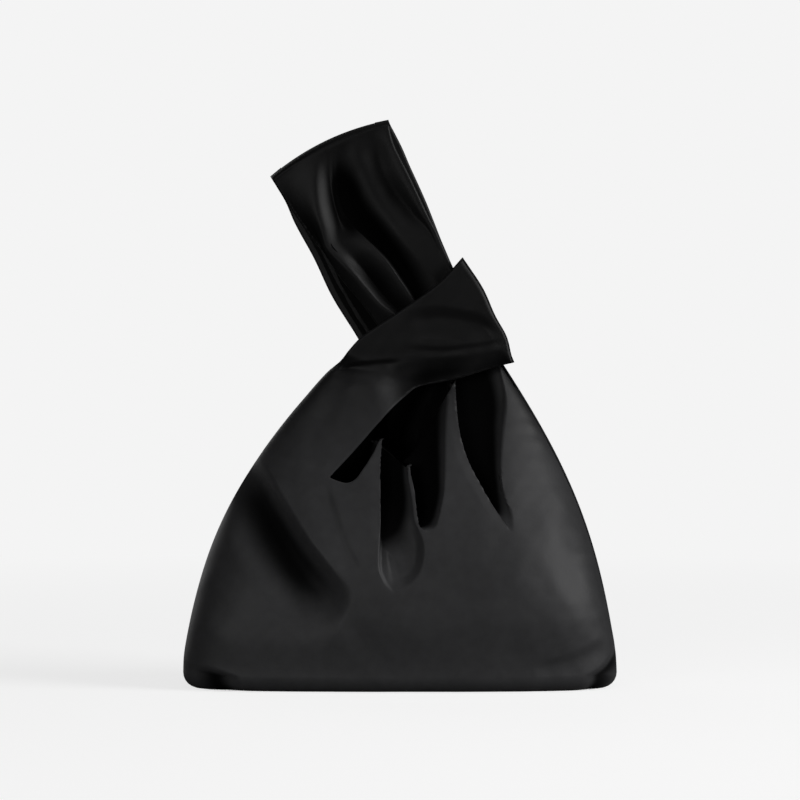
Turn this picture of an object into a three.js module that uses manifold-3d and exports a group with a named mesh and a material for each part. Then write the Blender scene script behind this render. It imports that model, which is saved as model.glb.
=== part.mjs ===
// A knot bag: a lined cloth bag whose long strap passes through its short loop.
// Millimetres, +X to the right, +Y to the back, +Z up, with the origin under the middle of the base.
import * as THREE from "three";
import { mergeVertices } from "three/addons/utils/BufferGeometryUtils.js";
import Module from "manifold-3d";

const wasm = await Module();
wasm.setup();

// The cloth: three layers, and the air between two pieces that touch
const satin = 1.2;
const interlining = 1.2;
const lining = 0.8;
const air = 0.3;

// The base
const baseWidth = 260;
const baseDepth = 92;
const baseRound = 9;
const baseBoard = 2;
const baseSquareness = 3.4;

// The wall's outline: upright to fullHeight, then in to the reaches at topHeight, with a bulge on each side
const fullHeight = 21;
const topHeight = 214;
const topLeft = 22;
const topRight = 47.5;
const bulgeLeft = 22.8;
const bulgeRight = 14.9;

// The wall's depth: widest at bellyHeight, gathered to the neck's depth at gatherHeight
const bellyDepth = 102;
const bellyHeight = 45;
const gatherHeight = 196;
const neckDepth = 18;
const taper = 1.3;
const neckSquareness = 2;

// The pleats fan down from the knot. Ridges part them: each has two points, x and z, and is upright beyond them.
// A pleat lies on the right of its ridge, starts at its foot and is full after its rise
const ridges = [
  [-8, 75, -11.5, 110],
  [12, 75, 6, 130],
  [24, 95, 27, 130],
  [60, 98, 35, 150],
  [68, 98, 61, 120],
];
const pleats = [
  { ridge: 0, foot: 57, rise: 75 },
  { ridge: 1, foot: 93, rise: 22 },
  { ridge: 3, foot: 92, rise: 36 },
];
const pleatDepth = 6.6;
const pleatFadeHeight = 125;
const ridgeToSeam = 9;

// The mouth: a slanting slot in the front and in the back, and below it the dip between two gathered tips
const mouthLowX = -37;
const mouthLowZ = 129;
const mouthLowRadius = 7.5;
const mouthHighX = 6;
const mouthHighZ = 171;
const mouthHighRadius = 5;
const mouthTipX = -12;
const mouthTipZ = 145;
const mouthDipX = 5;
const mouthDipZ = 131;
const mouthEndX = 29;
const mouthEndZ = 176;

// The knot rocks over the shoulders, which are round about this point
const rockX = 8.5;
const rockZ = 130;
const shoulderHeight = 172;
const shoulderTrim = 4;
const rockLeft = 12;
const rockRight = 25;

// The long strap leans to the left, and its middle line passes through a point just above the wall's top
const strapLean = 25.6;
const knotX = 12.3;
const knotRise = 0.3;
const strapWidth = 67;
const strapTopWidth = 78;
const strapTop = 122.5;
const strapCrown = 5;
const strapTurn = 14;
const strapTopDepth = 27;
const strapBulge = 3.5;

// The bend where the strap leaves the short loop, and the gathered root below it
const creaseRise = 12;
const beadRadius = 7.2;
const stemHalf = 4.5;
const stemHeight = 13;
const rootSquareness = 2.6;
const rootEdge = 1;

// The short loop, a flattened ring round the strap's root
const loopLeft = 44;
const loopRight = 45;
const loopEnd = 12;
const loopDrop = 32;
const loopFoldDrop = 37;
const loopDropSlope = 0.3;
const loopEdgeRise = 18.9;
const loopEdgeSlope = 0.215;
const loopLeftReach = 13;

// Steps of the surfaces
const bandSteps = [6, 4, 4, 2, 4, 5];
const curlSteps = 3;
const wallSteps = 14;
const strapAcross = 6;
const strapAlong = 7;
const turnSteps = 5;
const loopAcross = 4;
const loopTurnSteps = 4;
const loopRunSteps = 10;
const rootAcross = 10;
const rootRows = 6;
const beadRows = 5;
const mouthSteps = 6;
const shoulderSteps = 16;
const reachSteps = 16;

// Worked out from the sizes above
const { clamp, lerp, smoothstep, degToRad } = THREE.MathUtils;
const lean = degToRad(strapLean);
const along = new THREE.Vector3(-Math.sin(lean), 0, Math.cos(lean));
const across = new THREE.Vector3(Math.cos(lean), 0, Math.sin(lean));
const knot = new THREE.Vector3(knotX, 0, topHeight + knotRise);
const rock = new THREE.Vector3(rockX, 0, rockZ);
const shoulderRadius = topHeight - shoulderTrim - rockZ;
const layers = {
  satin: [0, satin],
  interlining: [satin + air, satin + air + interlining],
  lining: [satin + interlining + 2 * air, satin + interlining + lining + 2 * air],
};
const wall = layers.lining[1];

// A closed solid between two surfaces, the outer of which faces the front
function slab(outer, inner, steps, rows) {
  const points = [];
  const faces = [];
  for (const surface of [outer, inner]) {
    for (let j = 0; j <= rows; j += 1) {
      for (let i = 0; i <= steps; i += 1) points.push(surface(i / steps, j / rows));
    }
  }
  const at = (layer, i, j) => (layer * (rows + 1) + j) * (steps + 1) + i;
  const quad = (a, b, c, d) => faces.push(a, b, c, a, c, d);
  for (let j = 0; j < rows; j += 1) {
    for (let i = 0; i < steps; i += 1) {
      quad(at(0, i, j), at(0, i + 1, j), at(0, i + 1, j + 1), at(0, i, j + 1));
      quad(at(1, i, j), at(1, i, j + 1), at(1, i + 1, j + 1), at(1, i + 1, j));
    }
    quad(at(0, 0, j), at(0, 0, j + 1), at(1, 0, j + 1), at(1, 0, j));
    quad(at(0, steps, j), at(1, steps, j), at(1, steps, j + 1), at(0, steps, j + 1));
  }
  for (let i = 0; i < steps; i += 1) {
    quad(at(0, i, 0), at(1, i, 0), at(1, i + 1, 0), at(0, i + 1, 0));
    quad(at(0, i, rows), at(0, i + 1, rows), at(1, i + 1, rows), at(1, i, rows));
  }
  const geometry = new THREE.BufferGeometry().setFromPoints(points);
  geometry.setIndex(faces);
  return geometry;
}

// One layer of cloth, between two depths under a surface's outside
const clothLayer = (surface, layer, steps, rows) =>
  slab(
    (u, v) => surface(u, v, layers[layer][0]),
    (u, v) => surface(u, v, layers[layer][1]),
    steps,
    rows,
  );

// The same geometry turned to the back
function mirrored(geometry) {
  const made = geometry.clone().scale(1, -1, 1);
  const index = made.getIndex();
  for (let i = 0; i < index.count; i += 3) {
    const first = index.getX(i);
    index.setX(i, index.getX(i + 1));
    index.setX(i + 1, first);
  }
  return made;
}

// From three.js geometry to a manifold-3d solid, and back
function solidOf(geometry) {
  const bare = geometry.clone();
  bare.deleteAttribute("normal");
  bare.deleteAttribute("uv");
  const merged = mergeVertices(bare, 1e-4);
  return new wasm.Manifold(
    new wasm.Mesh({
      numProp: 3,
      vertProperties: merged.attributes.position.array,
      triVerts: new Uint32Array(merged.index.array),
    }),
  );
}

function geometryOf(solid) {
  const mesh = solid.getMesh();
  const geometry = new THREE.BufferGeometry();
  geometry.setAttribute("position", new THREE.BufferAttribute(mesh.vertProperties, 3));
  geometry.setIndex(new THREE.BufferAttribute(mesh.triVerts, 1));
  return geometry;
}

// The points of an arc in the upright plane, from one angle through a sweep
function arc(centre, radius, start, sweep, steps) {
  const points = [];
  for (let i = 0; i <= steps; i += 1) {
    const angle = start + (sweep * i) / steps;
    points.push(new THREE.Vector2(Math.cos(angle), Math.sin(angle)).multiplyScalar(radius).add(centre));
  }
  return points;
}

// An upright outline pushed through the bag from one y to another
function pushed(outline, from, to) {
  const options = { depth: to - from, bevelEnabled: false };
  const made = new THREE.ExtrudeGeometry(new THREE.Shape(outline), options);
  return solidOf(made.rotateX(Math.PI / 2).translate(0, to, 0));
}

// The bag's outline: how far it reaches to one side at a height
function sideReach(height, topReach, bulge) {
  const share = clamp((height - fullHeight) / (topHeight - fullHeight), 0, 1);
  return lerp(baseWidth / 2, topReach, share) + bulge * Math.sin(Math.PI * share);
}

// Half of the bag's depth at a height
function halfDepth(height) {
  if (height < bellyHeight) {
    const share = 1 - height / bellyHeight;
    return bellyDepth / 2 - ((bellyDepth - baseDepth) / 2) * share * share;
  }
  const share = Math.min(1, (height - bellyHeight) / (gatherHeight - bellyHeight));
  return neckDepth / 2 + ((bellyDepth - neckDepth) / 2) * Math.cos((Math.PI / 2) * share) ** taper;
}

function squarenessAt(height) {
  const share = clamp((height - fullHeight) / (topHeight - fullHeight), 0, 1);
  return lerp(baseSquareness, neckSquareness, Math.sqrt(share));
}

// How far a place on a ridge lies to the right at a height
const ridgeAt = ([lowX, lowZ, highX, highZ], height) =>
  lerp(lowX, highX, clamp((height - lowZ) / (highZ - lowZ), 0, 1));

// How deep the pleat in a band of the wall is at a height, at a share of the way across it: none at the gather
function pleatAt(band, share, height) {
  const pleat = pleats.find(({ ridge }) => ridge === band - 1);
  if (!pleat) return 0;
  const full = lerp(pleatDepth, 0, smoothstep(height, pleatFadeHeight, gatherHeight));
  return full * smoothstep(height, pleat.foot, pleat.foot + pleat.rise) * Math.sin(Math.PI * share);
}

// The bag's front wall: the lower edge curls in under the base, and the rest rises to the top. Its columns run in
// bands between the left seam, the ridges and the right seam, and are closer together near the seams
const curlShare = curlSteps / (curlSteps + wallSteps);
const columns = bandSteps.reduce((sum, steps) => sum + steps, 0);
function wallSurface(u, v, depth) {
  const angle = (Math.min(1, v / curlShare) * Math.PI) / 2;
  const rise = Math.max(0, (v - curlShare) / (1 - curlShare));
  const inset = baseRound - (baseRound - depth) * Math.sin(angle);
  const lift = rise * (topHeight - baseRound - air);
  const height = air + baseRound - (baseRound - depth) * Math.cos(angle) + lift;
  const left = sideReach(height, topLeft, bulgeLeft) - inset;
  const right = sideReach(height, topRight, bulgeRight) - inset;
  const ridgeLines = ridges.map((ridge) => Math.min(ridgeAt(ridge, height), right - ridgeToSeam));
  const lines = [-left, ...ridgeLines, right];
  let band = 0;
  let step = u * columns;
  while (step > bandSteps[band] + 1e-6) {
    step -= bandSteps[band];
    band += 1;
  }
  const share = step / bandSteps[band];
  const easedOut = band === 0 ? 1 - Math.cos((Math.PI / 2) * share) : share;
  const eased = band === bandSteps.length - 1 ? Math.sin((Math.PI / 2) * share) : easedOut;
  const x = lerp(lines[band], lines[band + 1], eased);
  const side = Math.min(1, Math.abs((2 * x - right + left) / (right + left)));
  const squareness = squarenessAt(height);
  const y = (halfDepth(height) - inset) * (1 - side ** squareness) ** (1 / squareness);
  return new THREE.Vector3(x, pleatAt(band, share, height) - y - air / 2, height);
}

// How deep the bag is at a place of the upright plane
function depthAt(x, z) {
  const left = sideReach(z, topLeft, bulgeLeft);
  const right = sideReach(z, topRight, bulgeRight);
  const side = Math.min(1, Math.abs((2 * x - right + left) / (right + left)));
  const squareness = squarenessAt(z);
  return halfDepth(z) * (1 - side ** squareness) ** (1 / squareness);
}

// The mouth: the outline round two circles, and the dip below them, pushed through the front
function mouthCutter() {
  const [low, high] = [new THREE.Vector2(mouthLowX, mouthLowZ), new THREE.Vector2(mouthHighX, mouthHighZ)];
  const way = high.clone().sub(low);
  const wedge = Math.acos((mouthLowRadius - mouthHighRadius) / way.length());
  const outline = [
    ...arc(high, mouthHighRadius, way.angle() - wedge, 2 * wedge, mouthSteps),
    ...arc(low, mouthLowRadius, way.angle() + wedge, 2 * (Math.PI - wedge), mouthSteps),
  ];
  const dip = [
    new THREE.Vector2(mouthTipX, mouthTipZ),
    new THREE.Vector2(mouthDipX, mouthDipZ),
    new THREE.Vector2(mouthEndX, mouthEndZ),
    new THREE.Vector2(mouthHighX, mouthHighZ + mouthHighRadius),
  ];
  return pushed(outline, -bellyDepth, -air).add(pushed(dip, -bellyDepth, -air));
}

// What lies above the round shoulders
function shoulderCutter() {
  const low = Math.asin((shoulderHeight - rockZ) / shoulderRadius);
  const centre = new THREE.Vector2(rockX, rockZ);
  const outline = [
    ...arc(centre, shoulderRadius, Math.PI - low, 2 * low - Math.PI, shoulderSteps),
    new THREE.Vector2(rockX + baseWidth, shoulderHeight),
    new THREE.Vector2(rockX + baseWidth, shoulderHeight + topHeight),
    new THREE.Vector2(rockX - baseWidth, shoulderHeight + topHeight),
    new THREE.Vector2(rockX - baseWidth, shoulderHeight),
  ];
  return pushed(outline, -bellyDepth, bellyDepth);
}

const mouth = mouthCutter();
const aboveShoulders = shoulderCutter();
function wallLayer(layer) {
  const whole = solidOf(clothLayer(wallSurface, layer, columns, curlSteps + wallSteps));
  return geometryOf(whole.subtract(mouth).subtract(aboveShoulders));
}

// A flat plate of the base, inside the wall's turned-in edge: that edge's outline, smaller by the air
function basePlate(bottom, thickness) {
  const narrower = 1 - air / (baseWidth / 2 - baseRound);
  const shallower = 1 - air / (baseDepth / 2 - baseRound);
  const front = [];
  for (let i = 0; i <= columns; i += 1) {
    const edge = wallSurface(i / columns, 0, 0);
    front.push(new THREE.Vector2(edge.x * narrower, (edge.y + air / 2) * shallower));
  }
  const back = front.slice(1, -1).reverse().map((point) => new THREE.Vector2(point.x, -point.y));
  const options = { depth: thickness, bevelEnabled: false };
  return new THREE.ExtrudeGeometry(new THREE.Shape([...front, ...back]), options).translate(0, 0, bottom);
}

// A point of the strap's own frame: w across, y to the back, h along
const knotPoint = (w, y, h) =>
  knot.clone().addScaledVector(across, w).addScaledVector(along, h).add(new THREE.Vector3(0, y, 0));

// The height along the strap at which the round shoulders, and a clearance over them, are met at w
const rockFromKnot = rock.clone().sub(knot);
function overShoulders(w, clearance) {
  const aside = w - rockFromKnot.dot(across);
  const reach = Math.max(0, (shoulderRadius + clearance) ** 2 - aside ** 2);
  return rockFromKnot.dot(along) + Math.sqrt(reach);
}

// The short loop's edges, and the line of the bend above it: the left end stays clear of the round shoulders
const edgeLine = (w) => loopEdgeRise + loopEdgeSlope * w;
const edgeAngle = Math.atan(loopEdgeSlope);
const crease = (w) => edgeLine(w) + creaseRise / Math.cos(edgeAngle);
const loopUpper = (w) => Math.max(edgeLine(w), overShoulders(w, air) + wall);
function loopLower(w) {
  const drop = w > 0 ? lerp(loopDrop, loopFoldDrop, w / loopRight) : loopDrop + loopDropSlope * w;
  const turned = -loopLeft + loopEnd / 2;
  return lerp(overShoulders(w, air), -drop, smoothstep(w, turned, turned + loopLeftReach));
}

// The inside of the loop clears the bag wherever the knot rocks to
function deepestUnderLoop() {
  let deepest = 0;
  const upright = new THREE.Vector3(0, 1, 0);
  for (let i = 0; i <= reachSteps; i += 1) {
    const w = lerp(-loopLeft, loopRight, i / reachSteps);
    for (let j = 0; j <= reachSteps; j += 1) {
      const tilt = degToRad(lerp(-rockLeft, rockRight, j / reachSteps));
      const point = knotPoint(w, 0, loopLower(w)).sub(rock).applyAxisAngle(upright, tilt);
      deepest = Math.max(deepest, depthAt(point.x + rockX, point.z + rockZ));
    }
  }
  return deepest;
}
const loopInside = deepestUnderLoop() + 2 * air;
const loopOutside = loopInside + wall;

// The front half of the short loop, from its left end to the fold at its right end
const turnShare = loopTurnSteps / (2 * loopTurnSteps + loopRunSteps);
function loopSurface(u, v, depth) {
  const angle = (Math.min(1, Math.min(u, 1 - u) / turnShare) * Math.PI) / 2;
  const run = clamp((u - turnShare) / (1 - 2 * turnShare), 0, 1);
  const middle = lerp(loopEnd - loopLeft, loopRight - loopEnd, run);
  const w = middle + (u < 0.5 ? -1 : 1) * (loopEnd - depth) * Math.cos(angle);
  const y = -(loopOutside - depth) * Math.sin(angle) - air / 2;
  return knotPoint(w, y, lerp(loopLower(w), loopUpper(w), v));
}

// The front run of the wrist loop, from the bend up to the top of its fold
const strapOutside = beadRadius + air + wall;
const strapTurnShare = turnSteps / (turnSteps + strapAlong);
function strapSurface(u, v, depth) {
  const side = 2 * u - 1;
  const rise = Math.min(1, v / (1 - strapTurnShare));
  const turn = (Math.max(0, (v - 1 + strapTurnShare) / strapTurnShare) * Math.PI) / 2;
  const turnFoot = strapTop - strapTurn + strapCrown * (1 - side * side);
  const halfAt = (h) => lerp(strapWidth, strapTopWidth, h / strapTop) / 2;
  const start = crease(side * halfAt(crease(0)));
  const h = lerp(start, turnFoot, rise) + (strapTurn - depth) * Math.sin(turn);
  const half = lerp(strapOutside, strapTopDepth / 2, rise) + strapBulge * Math.sin(Math.PI * rise) - depth;
  return knotPoint(side * halfAt(h), -half * Math.cos(turn) - air / 2, h);
}

// The strap's gathered root fills the short loop, narrows to a stem and ends in the round of the bend
const rootHalf = loopInside - air;
const rootShare = rootRows / (rootRows + beadRows);
const beadFoot = Math.acos(stemHalf / beadRadius);
const beadTop = Math.acos(rootEdge / beadRadius);
function rootSurface(u, v, depth) {
  const side = 2 * u - 1;
  const w = (side * strapWidth) / 2;
  const rise = Math.min(1, v / rootShare);
  const angle = lerp(-beadFoot, beadTop, Math.max(0, (v - rootShare) / (1 - rootShare)));
  const foot = crease(w) - (beadRadius * Math.sin(beadFoot)) / Math.cos(edgeAngle);
  const bottom = Math.min(overShoulders(w, air), foot - stemHeight);
  const bead = (beadRadius * (Math.sin(beadFoot) + Math.sin(angle))) / Math.cos(edgeAngle);
  const h = lerp(bottom, foot, rise) + (rise < 1 ? 0 : bead);
  const belly = smoothstep(crease(w) - h, stemHeight, stemHeight + rootHalf);
  const narrowed = (1 - Math.abs(side) ** rootSquareness) ** (1 / rootSquareness);
  const full = rise < 1 ? lerp(stemHalf, rootHalf * narrowed, belly) : beadRadius * Math.cos(angle);
  return knotPoint(w, depth > 0 ? -air / 2 : -air / 2 - Math.max(rootEdge, full), h);
}

// The materials of the four cloths and the board
const cloth = (level, roughness) =>
  new THREE.MeshStandardMaterial({ color: new THREE.Color(level, level, level), roughness, metalness: 0 });
const materials = {
  satin: cloth(0.03, 0.45),
  lining: cloth(0.025, 0.55),
  interlining: cloth(0.15, 0.95),
  board: cloth(0.07, 0.85),
};

const bag = new THREE.Group();
function add(name, geometry, material) {
  const mesh = new THREE.Mesh(geometry, materials[material]);
  mesh.name = name;
  bag.add(mesh);
}

function addPair(name, geometry, material) {
  add(`${name}_front`, geometry, material);
  add(`${name}_back`, mirrored(geometry), material);
}

addPair("shell", wallLayer("satin"), "satin");
addPair("interlining", wallLayer("interlining"), "interlining");
addPair("lining", wallLayer("lining"), "lining");
add("shell_base", basePlate(0, satin), "satin");
add("base_board", basePlate(satin + air, baseBoard), "board");
add("lining_base", basePlate(satin + baseBoard + 2 * air, lining), "lining");

const loopSteps = 2 * loopTurnSteps + loopRunSteps;
const loopLayer = (layer) => clothLayer(loopSurface, layer, loopSteps, loopAcross);
addPair("short_loop", loopLayer("satin"), "satin");
addPair("short_loop_interlining", loopLayer("interlining"), "interlining");
addPair("short_loop_lining", loopLayer("lining"), "lining");

const strapLayer = (layer) => clothLayer(strapSurface, layer, strapAcross, strapAlong + turnSteps);
addPair("long_strap", strapLayer("satin"), "satin");
addPair("long_strap_interlining", strapLayer("interlining"), "interlining");
addPair("long_strap_lining", strapLayer("lining"), "lining");

const rootHalfSolid = slab(
  (u, v) => rootSurface(u, v, 0),
  (u, v) => rootSurface(u, v, 1),
  rootAcross,
  rootRows + beadRows,
);
addPair("strap_root", rootHalfSolid, "satin");

export default bag;
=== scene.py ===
# %% [markdown]
# # A lined knot bag
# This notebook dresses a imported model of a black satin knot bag. The bag has a short loop on its left
# shoulder and a long strap from its right one, and the strap passes through the loop.
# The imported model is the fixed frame: it says where each piece is and how it moves. Here each piece gets
# its real cloth shape, with its folds, hems and finish.

import bmesh
import bpy
import numpy as np
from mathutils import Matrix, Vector


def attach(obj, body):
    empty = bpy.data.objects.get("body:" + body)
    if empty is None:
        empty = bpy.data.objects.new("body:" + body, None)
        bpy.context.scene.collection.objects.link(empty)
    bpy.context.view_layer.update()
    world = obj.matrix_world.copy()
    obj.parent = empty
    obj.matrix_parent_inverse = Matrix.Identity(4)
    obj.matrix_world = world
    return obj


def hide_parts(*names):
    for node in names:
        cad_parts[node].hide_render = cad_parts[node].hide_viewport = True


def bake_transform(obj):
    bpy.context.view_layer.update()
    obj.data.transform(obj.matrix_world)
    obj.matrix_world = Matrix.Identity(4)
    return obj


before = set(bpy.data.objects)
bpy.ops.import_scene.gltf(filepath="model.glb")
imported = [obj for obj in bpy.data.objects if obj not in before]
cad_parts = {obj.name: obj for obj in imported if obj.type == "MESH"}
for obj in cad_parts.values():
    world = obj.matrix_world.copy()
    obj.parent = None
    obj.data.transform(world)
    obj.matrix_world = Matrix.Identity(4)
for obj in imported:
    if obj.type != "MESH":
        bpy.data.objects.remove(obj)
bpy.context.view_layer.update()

print("nodes", sorted(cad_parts))

# %% [markdown]
# ## The camera
# A bag on a table is photographed from far away with a long lens, so that its sides don't swell.
# The camera stands two metres in front, a little above the bag's middle, and sees 480 mm across there.

# %% Camera
metres = 0.001
camera_back = 2000.0
camera_height = 200.0
aim_height = 171.6
seen_width = 480.0
sensor_width = 36.0

camera_data = bpy.data.cameras.new("camera")
camera_data.sensor_width = sensor_width
camera_data.lens = sensor_width * np.hypot(camera_back, camera_height - aim_height) / seen_width
camera = bpy.data.objects.new("camera", camera_data)
camera.location = Vector((0, -camera_back, camera_height)) * metres
aim = Vector((0, 0, aim_height)) * metres
camera.rotation_euler = (aim - camera.location).to_track_quat("-Z", "Y").to_euler()
bpy.context.scene.collection.objects.link(camera)
bpy.context.scene.camera = camera
print("lens", round(camera_data.lens, 1))


# %% [markdown]
# ## Curves and grids
# Every cloth here is a grid of points worked out with numpy: one parameter runs across the cloth and one
# runs along it. Its outlines are smooth lines through a few points, in millimetres, and its folds push the
# grid in or out along such lines. A cloth simulation would drape too, but not into this photograph's folds.

# %% Smooth steps and smooth lines
def smooth(low, high, value):
    """0 below low, 1 above high, and three t squared minus two t cubed between them."""
    t = np.clip((value - low) / (high - low), 0, 1)
    return t * t * (3 - 2 * t)


def through(knots, values, at):
    """A smooth line through values at knots: cubic pieces that share the slope of their neighbours."""
    knots = np.asarray(knots, float)
    values = np.asarray(values, float)
    slopes = np.gradient(values, knots, axis=0)
    at = np.clip(at, knots[0], knots[-1])
    i = np.clip(np.searchsorted(knots, at, side="right") - 1, 0, len(knots) - 2)
    span = knots[i + 1] - knots[i]
    t = (at - knots[i]) / span
    if values.ndim > 1:
        t = t[..., None]
        span = span[..., None]
    start = (1 + 2 * t) * (1 - t) ** 2 * values[i] + t * (1 - t) ** 2 * span * slopes[i]
    end = t * t * (3 - 2 * t) * values[i + 1] + t * t * (t - 1) * span * slopes[i + 1]
    return start + end


# %% Distance from a line, for folds
line_steps = 120
least_span = 0.8


def from_line(x, z, points):
    """The signed distance of each place from a smooth line, and how far along the line it lies, 0 to 1.
    The distance is positive on the line's left-hand side as it runs from its first point to its last."""
    line = through(np.arange(len(points)), points, np.linspace(0, len(points) - 1, line_steps + 1))
    way = np.gradient(line, axis=0)
    way /= np.linalg.norm(way, axis=1)[:, None]
    away = (x[..., None] - line[:, 0]) ** 2 + (z[..., None] - line[:, 1]) ** 2
    nearest = np.argmin(away, axis=-1)
    dx = x - line[nearest, 0]
    dz = z - line[nearest, 1]
    across = way[nearest, 0] * dz - way[nearest, 1] * dx
    along = way[nearest, 0] * dx + way[nearest, 1] * dz
    past_end = ((nearest == 0) & (along < 0)) | ((nearest == line_steps) & (along > 0))
    beyond = np.where(past_end, along, 0)
    step = np.linalg.norm(np.diff(line, axis=0), axis=1).mean()
    return np.sign(across) * np.hypot(across, beyond), (nearest + along / step) / line_steps


def ends(t, soft):
    """1 along a line, and 0 at both of its ends and beyond."""
    return smooth(0, soft, t) * smooth(0, soft, 1 - t)


def valley(x, z, points, width, depth, soft=0.25):
    """A soft valley along a line: the depth times a bell curve of the distance from it."""
    away, t = from_line(x, z, points)
    return depth * ends(t, soft) * np.exp(-((away / width) ** 2))


def fold(x, z, crest, fall, rise, depth, soft=0.25):
    """A fold whose crest is a line: on the line's left-hand side the cloth falls by the depth over one width
    and rises again over the next, both as smooth steps."""
    away, t = from_line(x, z, crest)
    return depth * ends(t, soft) * smooth(0, fall, away) * (1 - smooth(fall, fall + rise, away))


def creased(across, along, lines):
    """The depth of a cloth that is creased along several lines: from each line to the next it changes from
    one line's depth to the other's by a smooth step. A line has its place across and its depth at heights."""
    place = [through(line["at"], line["across"], along) for line in lines]
    depth = [through(line["at"], line["depth"], along) for line in lines]
    total = depth[0] + 0 * across
    for i in range(1, len(lines)):
        span = np.maximum(place[i] - place[i - 1], least_span)
        total = total + (depth[i] - depth[i - 1]) * smooth(0, span, across - place[i - 1])
    return total


# %% From grids to a mesh
sharp_angle = np.radians(42)
merge_distance = 0.01


def cloth(name, grids, flipped=False, painted_light=(), sharp=False):
    """One object from several grids of points in millimetres. Each grid has rows from the bottom to the top
    and columns from the left to the right as seen from the front. Edges that two grids share are merged.
    Its UV map holds the lengths across and along the cloth, in metres. Its attribute is painted shade: it
    says how lit each place is painted, 1 where nothing is given. A sharp cloth has hard edges where it turns
    by more than the sharp angle."""
    vertices = []
    faces = []
    lengths = []
    first = 0
    for grid in grids:
        rows, columns = grid.shape[:2]
        index = first + np.arange(rows * columns).reshape(rows, columns)
        quads = np.stack([index[:-1, :-1], index[:-1, 1:], index[1:, 1:], index[1:, :-1]], axis=-1)
        if flipped:
            quads = quads[..., ::-1]
        faces.append(quads.reshape(-1, 4))
        vertices.append(grid.reshape(-1, 3))
        over = np.linalg.norm(np.diff(grid, axis=1), axis=2).mean(axis=0)
        up = np.linalg.norm(np.diff(grid, axis=0), axis=2).mean(axis=1)
        u = np.concatenate([[0], np.cumsum(over)])
        v = np.concatenate([[0], np.cumsum(up)])
        lengths.append(np.stack(np.meshgrid(u, v), axis=-1).reshape(-1, 2))
        first += rows * columns
    vertices = np.concatenate(vertices) * metres
    faces = np.concatenate(faces)
    mesh = bpy.data.meshes.new(name)
    mesh.vertices.add(len(vertices))
    mesh.vertices.foreach_set("co", vertices.ravel())
    mesh.loops.add(faces.size)
    mesh.loops.foreach_set("vertex_index", faces.ravel())
    mesh.polygons.add(len(faces))
    mesh.polygons.foreach_set("loop_start", np.arange(len(faces)) * 4)
    mesh.polygons.foreach_set("use_smooth", np.ones(len(faces), bool))
    mesh.update(calc_edges=True)
    # Painted shade: each grid's attribute says how lit each place is painted, 1 where none is given.
    shade_paint = [painted_light[i] if i < len(painted_light) else np.ones(grid.shape[:2]) for i, grid in enumerate(grids)]
    attribute = mesh.attributes.new("painted_light", "FLOAT", "POINT")
    attribute.data.foreach_set("value", np.concatenate([value.ravel() for value in shade_paint]))
    uv = mesh.uv_layers.new(name="cloth")
    uv.data.foreach_set("uv", (np.concatenate(lengths)[faces.ravel()] * metres).ravel())
    merged = bmesh.new()
    merged.from_mesh(mesh)
    bmesh.ops.remove_doubles(merged, verts=merged.verts, dist=merge_distance * metres)
    merged.to_mesh(mesh)
    merged.free()
    if sharp:
        mesh.set_sharp_from_angle(angle=sharp_angle)
    made = bpy.data.objects.new(name, mesh)
    bpy.context.scene.collection.objects.link(made)
    print(name, len(mesh.polygons), "faces")
    return made


# %% Rolled edges
hem_radius = 1.4
hem_width = 7.0
lip_radius = 0.8
lip_width = 2.0
hem_steps = 5
edge_span = 3


def rolled(edge, inside, facing, radius=hem_radius, width=hem_width):
    """The lines of points of a rolled edge, from the edge inwards: a half circle of the radius towards the
    inside of the cloth, then a strip back under it. inside is a line of points a little way in."""
    off = edge - inside
    off /= np.linalg.norm(off, axis=1)[:, None]
    under = np.array([0.0, -facing, 0.0]) + facing * off[:, 1:2] * off
    under /= np.linalg.norm(under, axis=1)[:, None]
    angles = np.linspace(0, np.pi, hem_steps + 1)
    lines = [edge + radius * (np.sin(a) * off + (1 - np.cos(a)) * under) for a in angles]
    lines.append(edge + 2 * radius * under - width * off)
    return lines


def hem_right(grid, facing, **sizes):
    """A grid for the rolled edge beyond a grid's last column."""
    return np.stack(rolled(grid[:, -1], grid[:, -1 - edge_span], facing, **sizes), axis=1)


def hem_left(grid, facing, **sizes):
    """A grid for the rolled edge before a grid's first column."""
    return np.stack(rolled(grid[:, 0], grid[:, edge_span], facing, **sizes)[::-1], axis=1)


def hem_top(grid, facing, **sizes):
    """A grid for the rolled edge above a grid's last row."""
    return np.stack(rolled(grid[-1], grid[-1 - edge_span], facing, **sizes), axis=0)


# %% [markdown]
# ## The bag's outline
# Seen from the front the bag is a bell: upright at the foot, then in to the shoulders. Across, it is a
# rounded rectangle at the foot that turns into a flat ellipse at the gathered neck. The side seams are
# sewn a little tight, so they pucker.

# %% The outline and the section
base_width = 260.0
base_depth = 92.0
base_round = 9.0
full_height = 18.6
soft_start = 0.03
top_height = 211.6
top_left = 22.0
top_right = 47.5
bulge_left = 22.8
bulge_right = 14.9
belly_depth = 102.0
belly_height = 45.0
gather_height = 196.0
neck_depth = 18.0
neck_draw = 1.3
base_squareness = 3.4
neck_squareness = 2.0
oval_from = 0.7
pucker_reach = 11.0
pucker_depth = 0.8
crinkle_large = 0.40
crinkle_middling = 0.15
crinkle_small = 0.05

# Heights between which the puckers start, the puckers fade and the slide along the line of sight starts
pucker_start = (12, 40)
pucker_end = (135, 175)
sight_start = (40, 90)


def share_up(z):
    """How far a height lies between the foot's upright part and the top, 0 to 1, with a soft start."""
    share = (z - full_height) / (top_height - full_height)
    return np.clip((share + np.sqrt(share**2 + soft_start**2)) / 2, 0, 1)


def reach(z, top, bulge):
    """Half the base's width at the foot, the reach at the top, and a half sine wave of bulge between."""
    s = share_up(z)
    return base_width / 2 * (1 - s) + top * s + bulge * np.sin(np.pi * s)


def reach_left(z):
    """How far the bag reaches to the left at a height."""
    return reach(z, top_left, bulge_left)


def reach_right(z):
    """How far the bag reaches to the right at a height."""
    return reach(z, top_right, bulge_right)


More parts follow.
